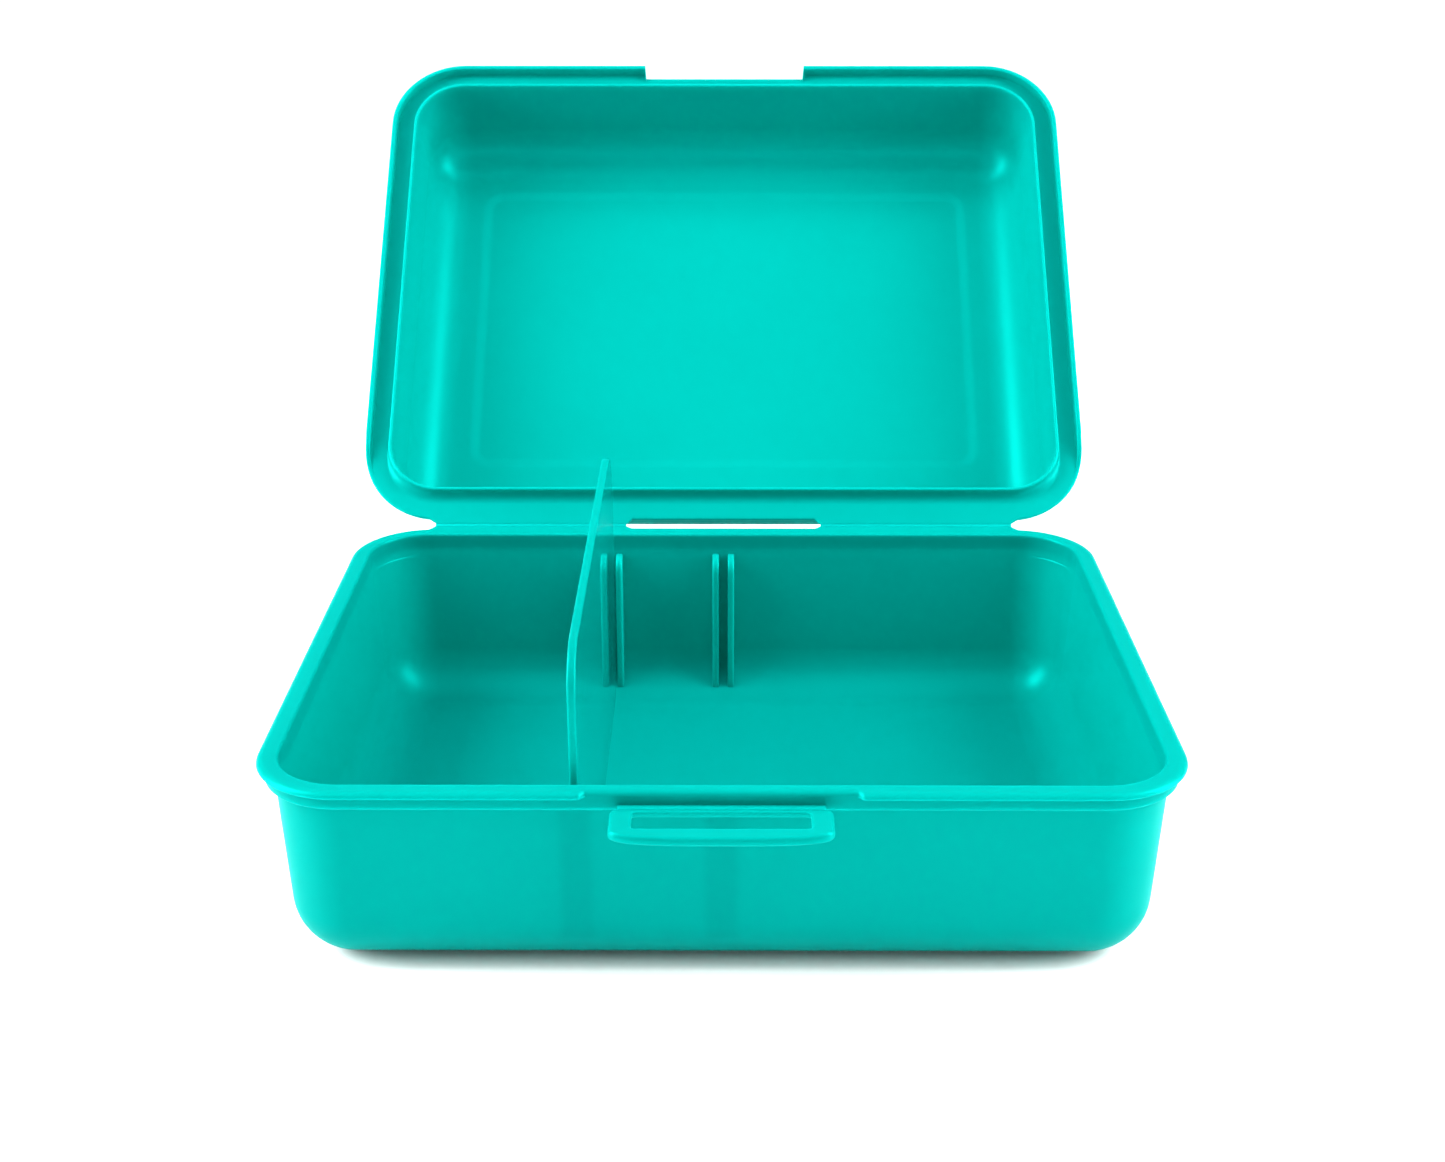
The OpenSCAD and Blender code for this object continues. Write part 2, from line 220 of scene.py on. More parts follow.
class Frame:
    """The rectangle of corner centres that a ring is swept round."""

    def __init__(self, half_x, y_low, y_high):
        self.half_x, self.y_low, self.y_high = half_x, y_low, y_high

    def at(self, station, rho, z):
        x = station.x * self.half_x
        y = self.y_low + (self.y_high - self.y_low) * (station.y + 1) / 2
        return (x + rho * cos(station.a), y + rho * sin(station.a), z)


class Station:
    """A place on the way round: x and y from -1 to 1 along the sides, a its direction.
    at_rear holds on the back and in its two corners."""

    def __init__(self, x, y, a, part):
        self.x, self.y, self.a, self.part = x, y, a, part
        self.at_rear = y > 0.99
        self.from_middle = abs(x) * SIDE_X


SIDE_X = HALF_W - RIM_R         # half length of the straight front


def stations(front, back, n_side=22, n_corner=16):
    """Stations anticlockwise from the front left. front and back list the x of theirs in
    millimetres, from the left."""
    out = [Station(x / SIDE_X, -1, -pi / 2, "front") for x in front]
    sides = [-1 + 2 * i / n_side for i in range(n_side + 1)]

    def corner(x, y, start):
        turns = [start + pi / 2 * i / n_corner for i in range(1, n_corner)]
        return [Station(x, y, a, "corner") for a in turns]

    out += corner(1, -1, -pi / 2)
    out += [Station(1, y, 0, "side") for y in sides]
    out += corner(1, 1, 0)
    out += [Station(x / SIDE_X, 1, pi / 2, "back") for x in reversed(back)]
    out += corner(-1, 1, pi / 2)
    out += [Station(-1, y, pi, "side") for y in reversed(sides)]
    out += corner(-1, -1, pi)
    return out


def spread(*edges, step=6):
    """Symmetrical x values over the straight side, with a value at each given edge."""
    marks = sorted({0.0, SIDE_X, *edges})
    half = [0.0]
    for a, b in zip(marks, marks[1:]):
        n = max(1, round((b - a) / step))
        half += [a + (b - a) * i / n for i in range(1, n + 1)]
    return [-x for x in reversed(half[1:])] + half


def swept(name, where, section, material):
    """Sweeps section(station), a list of (frame, rho, z), round the stations."""
    columns = [[f.at(s, rho, z) for f, rho, z in section(s)] for s in where]
    assert len({len(c) for c in columns}) == 1, f"{name}: sections differ in length"
    rings = [list(ring) for ring in zip(*columns)]
    return loft(name, rings, material)


def swing(obj):
    """Swings a lid piece, built shut, to where the frame holds it."""
    turn = Matrix.Rotation(-LID_OPEN, 4, "X")
    pivot = Vector((0, HINGE_Y * MM, HINGE_Z * MM))
    obj.data.transform(Matrix.Translation(pivot) @ turn @ Matrix.Translation(-pivot))
    return obj


def ease(t):
    """Smooth step from 0 to 1."""
    t = min(1, max(0, t))
    return t * t * (3 - 2 * t)


# ---- materials ----

TEAL = (0.0, 0.24, 0.213, 1)
# lighter than TEAL: painted light on the ribs, which lifts the shade in the gaps between them
RIB_TEAL_LIT = (0.0, 0.26, 0.23, 1)
TONE_DARK, TONE_LIGHT = 0.965, 1.03     # the tone changes' extremes
TONE_SCALE, STREAK_SCALE, GRAIN_SCALE = 14, 60, 2600
ROUGHNESS_SPAN = 0.05           # how far the streaks change the roughness either way

# the shade on the outside of the front and back wall, in millimetres
SHADE_X = (2.0, 4.2)            # it fades out between these, across from a slot's middle
SHADE_Z = (36.0, 37.8)          # and between these, upwards
SHADE_Y = (61.8, 62.2)          # it starts between the inner and the outer face
SHADE_LEAN = 0.05               # that limit's lean, along with the wall
SHADE_DEPTH = 0.06


def rib_shadow(nt, coord, color, lines):
    """Darkens the outer front and back wall a little where the ribs stand behind it."""
    xyz = nt.nodes.new("ShaderNodeSeparateXYZ")
    nt.links.new(coord.outputs["Object"], xyz.inputs["Vector"])

    def calc(kind, a, b=None):
        node = nt.nodes.new("ShaderNodeMath")
        node.operation = kind
        for slot_in, value in zip(node.inputs, (a, b)):
            if isinstance(value, (int, float)):
                slot_in.default_value = value
            elif value is not None:
                nt.links.new(value, slot_in)
        return node.outputs[0]

    def between(value, start, end):
        node = nt.nodes.new("ShaderNodeMapRange")
        node.interpolation_type = "SMOOTHSTEP"
        node.inputs["From Min"].default_value = start * MM
        node.inputs["From Max"].default_value = end * MM
        nt.links.new(value, node.inputs["Value"])
        return node.outputs["Result"]

    bands = 0.0
    for x in lines:
        off = calc("ABSOLUTE", calc("SUBTRACT", xyz.outputs["X"], x * MM))
        bands = calc("ADD", calc("SUBTRACT", 1.0, between(off, *SHADE_X)), bands)
    lean = calc("MULTIPLY", xyz.outputs["Z"], SHADE_LEAN)
    out = calc("SUBTRACT", calc("ABSOLUTE", xyz.outputs["Y"]), lean)
    below = calc("SUBTRACT", 1.0, between(xyz.outputs["Z"], *SHADE_Z))
    mask = calc("MULTIPLY", calc("MULTIPLY", bands, between(out, *SHADE_Y)), below)
    tint = nt.nodes.new("ShaderNodeMix")
    tint.data_type = "RGBA"
    tint.blend_type = "MULTIPLY"
    nt.links.new(calc("MULTIPLY", mask, SHADE_DEPTH), tint.inputs["Factor"])
    nt.links.new(color, tint.inputs[6])                 # A, as a colour
    tint.inputs[7].default_value = (0, 0, 0, 1)         # B, as a colour
    return tint.outputs[2]


def plastic(name, color, roughness=0.38, subsurface=0.5, alpha=1.0, rib_lines=()):
    """Satin moulded polypropylene: faint spark texture, flow streaks and tone changes.
    Metallic and the specular tint only take the red out of its reflections."""
    mat = bpy.data.materials.new(name)
    mat.use_nodes = True
    nt = mat.node_tree
    bsdf = nt.nodes["Principled BSDF"]
    coord = nt.nodes.new("ShaderNodeTexCoord")

    def noise(scale, detail, stretch=(1, 1, 1)):
        mapping = nt.nodes.new("ShaderNodeMapping")
        mapping.inputs["Scale"].default_value = stretch
        tex = nt.nodes.new("ShaderNodeTexNoise")
        tex.inputs["Scale"].default_value = scale
        tex.inputs["Detail"].default_value = detail
        nt.links.new(coord.outputs["Object"], mapping.inputs["Vector"])
        nt.links.new(mapping.outputs["Vector"], tex.inputs["Vector"])
        return tex

    tone = noise(TONE_SCALE, 3)
    ramp = nt.nodes.new("ShaderNodeValToRGB")
    dark = [c * TONE_DARK for c in color[:3]] + [1]
    light = [min(1, c * TONE_LIGHT) for c in color[:3]] + [1]
    ramp.color_ramp.elements[0].position = 0.3
    ramp.color_ramp.elements[0].color = dark
    ramp.color_ramp.elements[1].position = 0.7
    ramp.color_ramp.elements[1].color = light
    nt.links.new(tone.outputs["Fac"], ramp.inputs["Fac"])
    shade = ramp.outputs["Color"]
    if rib_lines:
        shade = rib_shadow(nt, coord, shade, rib_lines)
    nt.links.new(shade, bsdf.inputs["Base Color"])

    streaks = noise(STREAK_SCALE, 2, (1, 1, 0.25))
    shine = nt.nodes.new("ShaderNodeMapRange")
    shine.inputs["To Min"].default_value = roughness - ROUGHNESS_SPAN
    shine.inputs["To Max"].default_value = roughness + ROUGHNESS_SPAN
    nt.links.new(streaks.outputs["Fac"], shine.inputs["Value"])
    nt.links.new(shine.outputs["Result"], bsdf.inputs["Roughness"])

    grain = noise(GRAIN_SCALE, 2)
    bump = nt.nodes.new("ShaderNodeBump")
    bump.inputs["Strength"].default_value = 0.05
    bump.inputs["Distance"].default_value = 0.00004
    nt.links.new(grain.outputs["Fac"], bump.inputs["Height"])
    nt.links.new(bump.outputs["Normal"], bsdf.inputs["Normal"])

    bsdf.inputs["IOR"].default_value = 1.49
    bsdf.inputs["Metallic"].default_value = 0.2
    bsdf.inputs["Specular IOR Level"].default_value = 0.01
    bsdf.inputs["Specular Tint"].default_value = (0.05, 1.0, 0.93, 1)
    bsdf.inputs["Subsurface Weight"].default_value = subsurface
    bsdf.inputs["Subsurface Radius"].default_value = (0.2, 1.0, 0.95)
    bsdf.inputs["Subsurface Scale"].default_value = 0.005
    bsdf.inputs["Alpha"].default_value = alpha
    return mat


BOX_PLASTIC = plastic("box_plastic_satin", TEAL)
TUB_PLASTIC = plastic("box_plastic_tub", TEAL, rib_lines=(DIV_X, 0.0))
RIB_PLASTIC = plastic("box_plastic_ribs", RIB_TEAL_LIT, subsurface=0.8)
CLIP_PLASTIC = plastic("box_plastic_clip", TEAL, subsurface=0.35)
FILM_PLASTIC = plastic("film_plastic_satin", TEAL, roughness=0.36)
DIVIDER_EDGE = plastic("divider_plastic_edge", TEAL, roughness=0.36, alpha=0.9)
DIVIDER_PLASTIC = plastic("divider_plastic_clear", TEAL, roughness=0.36, alpha=0.2)


# ---- box ----

BASE = Frame(SIDE_X, -(HALF_D - RIM_R), HALF_D - RIM_R)
RECESS_X0, RECESS_X1 = 25.0, 26.2   # the recess's chamfered end runs between these
EDGE_W, EDGE_H = 1.5, 1.02      # the round of the rim's upper outer edge, across and down
SLIT_R = 0.3                    # radius of that edge beside the slit between the hinges
EDGE_LOW = 0.18                 # radius of the rim's lower outer edge
RIM_FLAT = 2.5                  # from the rim's edge to the end of its soft part
RECESS_FLAT = 0.5               # how much further that is at the recess
LIP_R = 0.6                     # radius of the opening's upper edge
UNDER_IN = 8                    # the standing ring's corner centres, in from the box's
STANDING_RING = ((2.6, 0.45), (3.2, 0.42), (3.8, 0.08), (4.4, 0.0))  # out from those, up
# the small fold between the outer wall and the step: out from the wall, up from the step
WALL_TOP = ((-0.02, -0.5), (0.03, -0.12), (0.15, 0))


def leaf_reach(s):
    """How far the hinge leaf stands out at this station, as a share of its full length."""
    if s.part != "back":
        return 0.0
    if s.from_middle >= FILM_X0 - 1e-6:
        return 1.0
    return max(0.0, 1 - (FILM_X0 - s.from_middle) / LEAF_FLARE)


def foot_line(rho_top, top, low, draft, r, n=12):
    """A drafted wall's line from its floor round up to its top."""
    cx = round_centre(rho_top, top - low, draft, r)
    return arc(cx, low + r, r, -90, -degrees(draft), n)


def flat_end(line):
    """Where a floor's flat part ends, just inside the foot of this line."""
    return max(0.05, line[0][0] - 0.3)


def base_section(s):
    """The box's wall at this station, from the underside up the outside, over the rim
    and down the inside to the floor."""
    recess = 0
    if s.part == "front":
        recess = STEP_IN * ease((RECESS_X1 - s.from_middle) / (RECESS_X1 - RECESS_X0))
    leaf = leaf_reach(s) * LEAF_OUT
    plate = TOP - RIM_T
    edge = RIM_R - recess
    step = RIM_R - STEP_IN
    points = []

    def add(rho, z, where=BASE):
        points.append((where, rho, z))

    # underside: standing ring round a shallow panel
    under = Frame(SIDE_X - UNDER_IN, BASE.y_low + UNDER_IN, BASE.y_high - UNDER_IN)
    for rho, z in STANDING_RING:
        add(rho, z, under)
    outer = foot_line(RIM_R - WALL_IN, STEP_Z, 0, WALL_DRAFT, FLOOR_R)
    add(flat_end(outer), 0)
    for rho, z in outer:
        add(rho, z)
    for out, up in WALL_TOP:
        add(RIM_R - WALL_IN + out, STEP_Z + up)
    # step
    for rho, z in arc(step - STEP_ROUND, STEP_Z + STEP_ROUND, STEP_ROUND, -90, 0, 3):
        add(rho, z)
    add(step, plate - 0.15)
    add(step + (0.0 if recess else 0.06), plate - 0.03)
    add(max(step, edge - 0.75), plate)
    # flat rim, with the leaf where the hinge is; both branches add eleven points
    if leaf:
        add(RIM_R + 0.1, plate)
        add(RIM_R + leaf * 0.35, plate)
        add(RIM_R + leaf * 0.7, TOP - LEAF_TIP - 0.35)
        for share in (1, 0.66, 0.33):
            add(RIM_R + leaf, TOP - LEAF_TIP * share)
        for share in (1, 0.85, 0.6, 0.3):
            add(RIM_R + leaf * share, TOP)
        add(RIM_R - 0.5, TOP)
    else:
        for rho, z in arc(edge - EDGE_LOW, plate + EDGE_LOW, EDGE_LOW, -80, -15, 3):
            add(edge if recess else rho, z)
        wide, high = (SLIT_R, SLIT_R) if s.part == "back" else (EDGE_W, EDGE_H)
        for u, v in arc(0, 0, 1, 3, 90, 6):
            add(edge - wide + wide * u, TOP - high + high * v)
    add(RIM_R - RIM_FLAT - RECESS_FLAT * recess / STEP_IN, TOP)
    # opening, with the sealing band's foot
    lip = RIM_R - OPEN_IN
    add(lip + LIP_R + 0.35, TOP)
    for rho, z in arc(lip + LIP_R, TOP - LIP_R, LIP_R, 90, 180, 6):
        add(rho, z)
    add(lip, TOP - 0.8)
    rear = sin(2 * s.a) ** 2 if s.part == "corner" and s.at_rear else 0
    band_h = BAND_H - BAND_H_LESS * ease(BAND_GAIN * rear)
    for i in range(6):
        add(lip - BAND_STEP * ease(i / 5), BAND_Z + band_h * (0.5 - i / 5))
    inner = foot_line(lip - BAND_STEP, BAND_Z, FLOOR_T, INNER_DRAFT, FLOOR_IN_R)
    for rho, z in reversed(inner):
        add(rho, z)
    add(flat_end(inner), FLOOR_T)
    return points


def make_box():
    ends = [x + d for x in (RECESS_X0, RECESS_X1) for d in (-0.4, 0, 0.4)]
    where = stations(spread(*ends), spread(*LEAF_MARKS))
    obj = swept("box_shell", where, base_section, TUB_PLASTIC)
    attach(obj, "base")
    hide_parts("base_tub", "base_rim", "hinge_leaf_base_left", "hinge_leaf_base_right")


make_box()


# ---- lid ----

LID_FRONT = -HALF_D - SKIRT_OUT
OUTLINE = Frame(LID_HALF_W - LID_R, LID_FRONT + LID_R, HALF_D - LID_R)
BEAD_R = RIM_R - OPEN_IN - BEAD_GAP
BEAD_REAR = HALF_D - OPEN_IN - BEAD_BACK
BEAD = Frame(SIDE_X, -HALF_D + OPEN_IN + BEAD_GAP + BEAD_R, BEAD_REAR - BEAD_R)
PANEL_HALF = (67.4, 43.15)
PANEL_Y = -4.1
PANEL_R = 5.0
PANEL = Frame(PANEL_HALF[0] - PANEL_R, PANEL_Y - PANEL_HALF[1] + PANEL_R,
              PANEL_Y + PANEL_HALF[1] - PANEL_R)
LID_TOP = LID_Z + LID_DEPTH + SHELL_T
SHELL_IN_R = BEAD_R - BEAD_T
PANEL_SOFT = 3.4                # width of the slope round the raised panel
PANEL_SOFT_IN = 2.4             # how much of it lies inside the panel's outline
PANEL_EDGE = [(PANEL_R - PANEL_SOFT_IN + PANEL_SOFT * i / 8, PANEL_RISE * (1 - ease(i / 8)))
              for i in range(9)]


def lid_section(s):
    """The shut lid's wall at this station, from its top down the outside, round the
    flange, skirt and sealing bead, and up the inside."""
    notch = 0
    if s.part == "front":
        notch = ease((NOTCH_HALF + NOTCH_SOFT - s.from_middle) / (2 * NOTCH_SOFT))
    y = OUTLINE.at(s, LID_R, 0)[1]
    hang = SKIRT_H * (1 - ease((y - FADE_Y0) / (FADE_Y1 - FADE_Y0))) * (1 - notch)
    leaf = leaf_reach(s) * LEAF_OUT
    edge = LID_R - NOTCH_CUT * notch
    top = LID_Z + LID_T
    points = []

    def add(rho, z, where):
        points.append((where, rho, z))

    def add_arc(cx, cz, r, a0, a1, n, where):
        for rho, z in arc(cx, cz, r, a0, a1, n):
            add(rho, z, where)

    # raised panel, outside
    for rho, z in PANEL_EDGE:
        add(rho, LID_TOP + z, PANEL)
    foot = SHELL_IN_R + SHELL_T
    for rho, z in foot_line(foot, LID_TOP - top, 0, LID_DRAFT, LID_FILLET + SHELL_T):
        add(rho, LID_TOP - z, BEAD)
    add(foot, top + 0.6, BEAD)
    add_arc(foot + FLANGE_SOFT, top + FLANGE_SOFT, FLANGE_SOFT, 180, 270, 3, BEAD)
    # flange, with the leaf where the hinge is; both branches add seventeen points
    add(foot + 1.0, top, BEAD)
    if leaf:
        add(LID_R - 0.5, top, OUTLINE)
        add(LID_R + leaf * 0.35, top, OUTLINE)
        add(LID_R + leaf * 0.7, LID_Z + LEAF_TIP + 0.35, OUTLINE)
        for share in (1, 0.75, 0.5, 0.25):
            add(LID_R + leaf, LID_Z + LEAF_TIP * share, OUTLINE)
        for share in (1, 0.6, 0.2, 0):
            add(LID_R + leaf * share, LID_Z, OUTLINE)
        for back in (0.15, 0.3, 0.6, 0.9, 1.2, 1.5):
            add(LID_R - back, LID_Z, OUTLINE)
    else:
        add(edge - 0.9, top, OUTLINE)
        add_arc(edge - FLANGE_SOFT, top - FLANGE_SOFT, FLANGE_SOFT, 90, 0, 3, OUTLINE)
        low = LID_Z - hang
        add_arc(edge - SKIRT_SOFT, low + SKIRT_SOFT, SKIRT_SOFT, 0, -90, 4, OUTLINE)
        inside, r = edge - SKIRT_T, INNER_SOFT
        for rho, z in arc(inside + r, low + r, r, -90, -180, 3):
            add(rho, min(z, LID_Z - 0.001 * hang), OUTLINE)
        for rho, z in arc(inside - r, LID_Z - r, r, 0, 90, 2):
            skirt_z = max(min(z, LID_Z), low)
            add(rho, skirt_z if hang > SKIRT_LEAST else LID_Z, OUTLINE)
    # sealing bead
    if s.part == "back":
        ramp = RAMP_REAR
    elif s.at_rear:
        ramp = RAMP + (RAMP_REAR - RAMP) * ease(sin(s.a))
    else:
        ramp = RAMP
    tip = BEAD_H - RAMP_SOFT
    add(BEAD_R + ramp + RAMP_SOFT, LID_Z, BEAD)
    for i in range(6):
        a = radians(90 + 90 * i / 5)
        add(BEAD_R + ramp + ramp * cos(a), LID_Z - tip + tip * sin(a), BEAD)
    r, low = INNER_SOFT, LID_Z - BEAD_H
    add_arc(BEAD_R - r, low + r, r, -15, -90, 3, BEAD)
    add_arc(SHELL_IN_R + r, low + r, r, -90, -180, 4, BEAD)
    add(SHELL_IN_R, low + 1.0, BEAD)
    # inside of the shell
    inner = foot_line(SHELL_IN_R, LID_TOP - SHELL_T - LID_Z, 0, LID_DRAFT, LID_FILLET)
    add(SHELL_IN_R, LID_Z, BEAD)
    for rho, z in reversed(inner):
        add(rho, LID_TOP - SHELL_T - z, BEAD)
    for rho, z in reversed(PANEL_EDGE):
        add(rho, LID_TOP - SHELL_T + z, PANEL)
    return points


def make_lid():
    ends = [NOTCH_HALF + d for d in (-0.5, -NOTCH_SOFT, 0, NOTCH_SOFT, 0.5)]
    where = stations(spread(*ends), spread(*LEAF_MARKS))
    obj = swing(swept("lid_moulding", where, lid_section, BOX_PLASTIC))
    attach(obj, "lid")
    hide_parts("lid_shell", "lid_panel", "lid_flange", "lid_seal_bead",
                "hinge_leaf_lid_left", "hinge_leaf_lid_right")


make_lid()


# ---- plates with soft edges ----

MITRE_LIMIT = 0.5


def turned(outline):
    """The outline, anticlockwise."""
    area = sum(a[0] * b[1] - b[0] * a[1] for a, b in zip(outline, outline[1:] + outline[:1]))
    return outline if area > 0 else outline[::-1]


def inset(outline, d):
    """An anticlockwise outline moved inwards by d at each of its points."""
    out = []
    n = len(outline)
    for i in range(n):
        p0, p1, p2 = (Vector(outline[k % n]) for k in (i - 1, i, i + 1))
        e1, e2 = (p1 - p0).normalized(), (p2 - p1).normalized()
        n1, n2 = Vector((-e1.y, e1.x)), Vector((-e2.y, e2.x))
        # the limit keeps the point of a sharp corner from running away
        p = p1 + (n1 + n2) * (d / max(MITRE_LIMIT, 1 + n1.dot(n2)))
        out.append((p.x, p.y))
    return out


def edge_steps(low, high, r_low, r_high, n):
    """(inset, height) pairs that go round a plate's edge from its low to its high face,
    with a radius of its own at each."""
    quarter = [radians(90 * i / n) for i in range(n + 1)]
    bottom = [(r_low - r_low * sin(a), low + r_low - r_low * cos(a)) for a in quarter]
    top = [(r_high - r_high * cos(a), high - r_high + r_high * sin(a)) for a in quarter]
    return bottom + top


def plate_rings(outline, low, high, r, support):
    """Rings of a plate with edges rounded by r. Its outline is in the Y-Z plane, and it
    reaches along X from low to high. support is the width of the flat strip inside each
    round, which keeps the shading of the face flat."""
    outline = turned(outline)
    steps = [(r + support, low), *edge_steps(low, high, r, r, 4), (r + support, high)]
    return [[(x, y, z) for y, z in inset(outline, d)] for d, x in steps]


# ---- slots for the divider ----

def rib_outline():
    """A rib's profile against the back wall, sunk a little into the wall."""
    top_in = RIM_R - OPEN_IN - BAND_STEP
    wall = BASE.y_high + RIM_R - OPEN_IN - BAND_STEP
    tip = RIB_D - 0.6
    centre = round_centre(top_in, BAND_Z - FLOOR_T, INNER_DRAFT, FLOOR_IN_R)
    sunk = arc(BASE.y_high + centre, FLOOR_T + FLOOR_IN_R, FLOOR_IN_R + RIB_SINK, -58, -3, 8)
    free = arc(wall - RIB_D + tip, RIB_TOP - tip, tip, 90, 180, 8)
    return sunk + [(wall + RIB_SINK, RIB_TOP)] + free


def make_slot(name, x, face):
    """The two ribs of a slot, on the back wall (face 1) or on the front wall (-1)."""
    verts, faces = [], []
    for side in (-1, 1):
        mid = x + side * (SLOT_GAP + RIB_T) / 2
        low, high = mid - RIB_T / 2, mid + RIB_T / 2
        rings = plate_rings(rib_outline(), low, high, RIB_SOFT, RIB_SUPPORT)
        n, count, start = len(rings[0]), len(rings), len(verts)
        verts += [(px, py * face, pz) for ring in rings for px, py, pz in ring]
        faces += side_faces(n, count, start)
        faces.append(tuple(range(start, start + n)))
        faces.append(tuple(range(start + (count - 1) * n, start + count * n)))
    obj = mesh_object("ribs_" + name, verts, faces, RIB_PLASTIC)
    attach(obj, "base")
    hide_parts("slot_" + name)


for place_name, place_x in (("left", DIV_X), ("middle", 0.0)):
    make_slot(place_name + "_back", place_x, 1)
    make_slot(place_name + "_front", place_x, -1)


# ---- lug ----

WINDOW_NEAR, WINDOW_FAR = 1.6, 7.4      # the clip window's sides, from the clip's hinge
LUG_HALF = 15.5
LUG_OUT, LUG_IN = 1.3, 1.5              # how far it reaches out from the flange, and in
LUG_TOP = CLIP_Z + WINDOW_FAR - 0.35    # just inside the window of the shut clip
LUG_SOFT, LUG_SUPPORT = 0.3, 0.2


def make_lug():
    edge = LID_FRONT + NOTCH_CUT
    front, back, top = edge - LUG_OUT, edge + LUG_IN, LUG_TOP
    foot = LID_Z + LID_T
    outline = [(edge + 0.15, foot - 0.3), (edge + 0.1, foot), (front, top - 0.7),
               (front, top - 0.3), (front + 0.1, top - 0.1), (front + 0.4, top),
               (back - 0.3, top), (back, top - 0.3), (back, foot - 0.3)]
    rings = plate_rings(outline, -LUG_HALF, LUG_HALF, LUG_SOFT, LUG_SUPPORT)
    obj = loft("lid_lug", rings, BOX_PLASTIC)
    swing(obj)
    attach(obj, "lid")
    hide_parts("lid_clip_lug")


make_lug()


# ---- films ----

def ribbon(name, upper, lower, x0, x1, material, n=16):
    """A closed band along X between an upper and a lower line in the Y-Z plane."""
    line = upper + lower[::-1]
    xs = [x0 + (x1 - x0) * i / n for i in range(n + 1)]
    return loft(name, [[(x, y, z) for y, z in line] for x in xs], material)


def swung(y, z):
    """A point of the shut lid, in the Y-Z plane, where the frame holds the lid."""
    a = -LID_OPEN
    dy, dz = y - HINGE_Y, z - HINGE_Z
    return (HINGE_Y + dy * cos(a) - dz * sin(a), HINGE_Z + dy * sin(a) + dz * cos(a))


def smooth_line(p0, p1, p2, n=8):
    """Points on the parabola from p0 to p2 pulled towards p1."""
    out = []
    for i in range(n + 1):
        t = i / n
        w = ((1 - t) ** 2, 2 * t * (1 - t), t * t)
        out.append(tuple(w[0] * a + w[1] * b + w[2] * c for a, b, c in zip(p0, p1, p2)))
    return out


FILM_T = 0.32                   # depth of the film's underside below the leaf's flat face
FILM_LAP = 0.25                 # how far the film runs into each leaf


def make_hinge_film(name, side):
    near, skin = LEAF_END - FILM_LAP, 0.02
    upper = smooth_line((near, TOP - skin), (HINGE_Y, HINGE_Z + skin),
                        swung(near, LID_Z + skin))
    lower = smooth_line((near, TOP - FILM_T), (HINGE_Y + skin, HINGE_Z - 0.3),
                        swung(near, LID_Z + FILM_T))
    x0, x1 = sorted((side * FILM_X0, side * (SIDE_X + 0.2)))
    obj = ribbon("film_strap_" + name, upper, lower, x0, x1, FILM_PLASTIC)
    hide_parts("hinge_film_" + name)
    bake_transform(obj)


make_hinge_film("left", -1)
make_hinge_film("right", 1)


# ---- clip ----

CLIP_HALF = (CLIP_HIGH[0] - CLIP_LOW[0]) / 2
CLIP_TOP, CLIP_UNDER = CLIP_HIGH[2], CLIP_LOW[2]
CLIP_BACK, CLIP_FRONT = CLIP_HIGH[1], CLIP_LOW[1]
CLIP_SIDE = CLIP_Y - 6.9        # where the straight ends give way to the bowed front
CLIP_BOW = 3.4                  # exponent of the front's superellipse
CLIP_BACK_R = 1.3               # radius of the clip's back corners
CLIP_FILM_HALF = 19.35
CLIP_SOFT = 0.7                 # round of the outer edge's upper side
CLIP_SOFT_LOW = 0.3             # rounds of the lower edges
WINDOW_SOFT = 0.4               # round of the window's upper edge
CLIP_LIP, CLIP_LIP_RUN = 0.5, 5     # the lower edge hangs by this, reached over this
WINDOW_HALF, WINDOW_R = 16.35, 0.7
WINDOW_Y0, WINDOW_Y1 = CLIP_Y - WINDOW_NEAR, CLIP_Y - WINDOW_FAR
CLIP_COUNTS = (56, 14, 40, 14)  # points along the front, right end, back and left end
# the film's lines, from the clip's hinge
CLIP_FILM_UPPER = ((0.15, 0.12), (0, 0.1), (-0.2, 0.11), (-0.6, 0.12))
CLIP_FILM_LOWER = ((0.35, -0.25), (0.15, -0.17), (0, -0.15), (-0.2, -0.16), (-0.6, -0.2))


def along(points, n):
    """n points spaced evenly along a line, from its first to just before its last."""
    marks = [Vector(p) for p in points]
    lengths = [0.0]
    for a, b in zip(marks, marks[1:]):
        lengths.append(lengths[-1] + (b - a).length)
    out = []
    for i in range(n):
        want = lengths[-1] * i / n
        k = max(j for j in range(len(lengths) - 1) if lengths[j] <= want + 1e-9)
        t = (want - lengths[k]) / (lengths[k + 1] - lengths[k])
        p = marks[k].lerp(marks[k + 1], t)
        out.append((p.x, p.y))
    return out


def clip_outline():
    """The clip's plan as four lines, anticlockwise: front, right end, back, left end."""
    bow = CLIP_SIDE - CLIP_FRONT
    power = 2 / CLIP_BOW
    quarter = []
    for i in range(33):
        a = radians(90 * i / 32)
        quarter.append((CLIP_HALF * sin(a) ** power, CLIP_SIDE - bow * cos(a) ** power))
    cut = next(i for i, p in enumerate(quarter) if p[0] > 0.93 * CLIP_HALF)
    right_back = arc(CLIP_FILM_HALF - 0.2, CLIP_BACK - CLIP_BACK_R, CLIP_BACK_R, 0, 90, 6)
    right = quarter[cut:] + right_back[:4]
    back = [right_back[3], *right_back[4:], (0, CLIP_BACK)]
    mirror = [(-x, y) for x, y in back[:-1]][::-1]
    front_half = quarter[:cut + 1]
    front = [(-x, y) for x, y in front_half[::-1]][:-1] + front_half
    left = [(-x, y) for x, y in right[::-1]]
    return front, right, back + mirror, left


